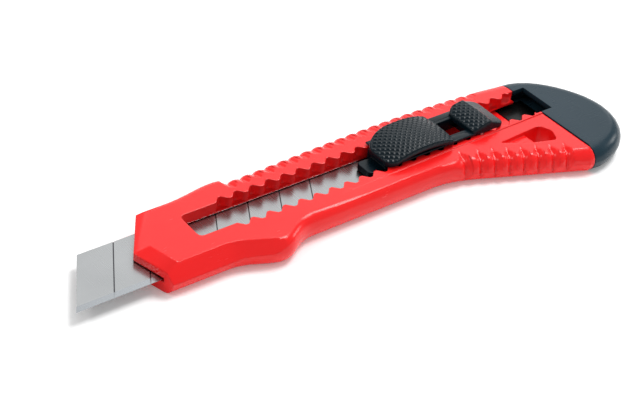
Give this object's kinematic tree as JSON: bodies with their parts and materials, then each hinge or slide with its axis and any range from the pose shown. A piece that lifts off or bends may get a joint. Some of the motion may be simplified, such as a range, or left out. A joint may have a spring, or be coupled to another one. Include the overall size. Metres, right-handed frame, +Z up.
{
  "type": "snap-off utility knife",
  "caption": "Snap-off utility knife: slim ribbed handle with a toothed slot, sliding thumb lock, segmented steel blade and rounded end cap.",
  "frame": {"origin": "on the flat back of the handle, under the centreline of the toothed slot, 79 mm behind the nose", "axes": "+X from the blade towards the end cap along the slot, +Y across the handle away from the finger guard, +Z up, out of the slotted side"},
  "size_m": [0.1752, 0.044, 0.0122],
  "materials": {
    "housing_plastic": "smooth glossy moulded plastic",
    "blade_steel": "fine ground bright steel",
    "slider_plastic": "satin, with a fine cross-cut grip on the thumb pads",
    "cap_plastic": "satin"
  },
  "bodies": {
    "handle": {"housing": "housing_plastic"},
    "carriage": {"blade": "blade_steel", "blade_carrier": "slider_plastic", "thumb_slider": "slider_plastic"},
    "cap": {"end_cap": "cap_plastic"}
  },
  "joints": [
    {"name": "slider_travel", "type": "slide", "parent": "handle", "child": "carriage", "axis": [-1, 0, 0], "range_m": [-0.025, 0.05]},
    {"name": "cap_pull", "type": "slide", "parent": "handle", "child": "cap", "axis": [1, 0, 0], "range_m": [0, 0.03]}
  ]
}
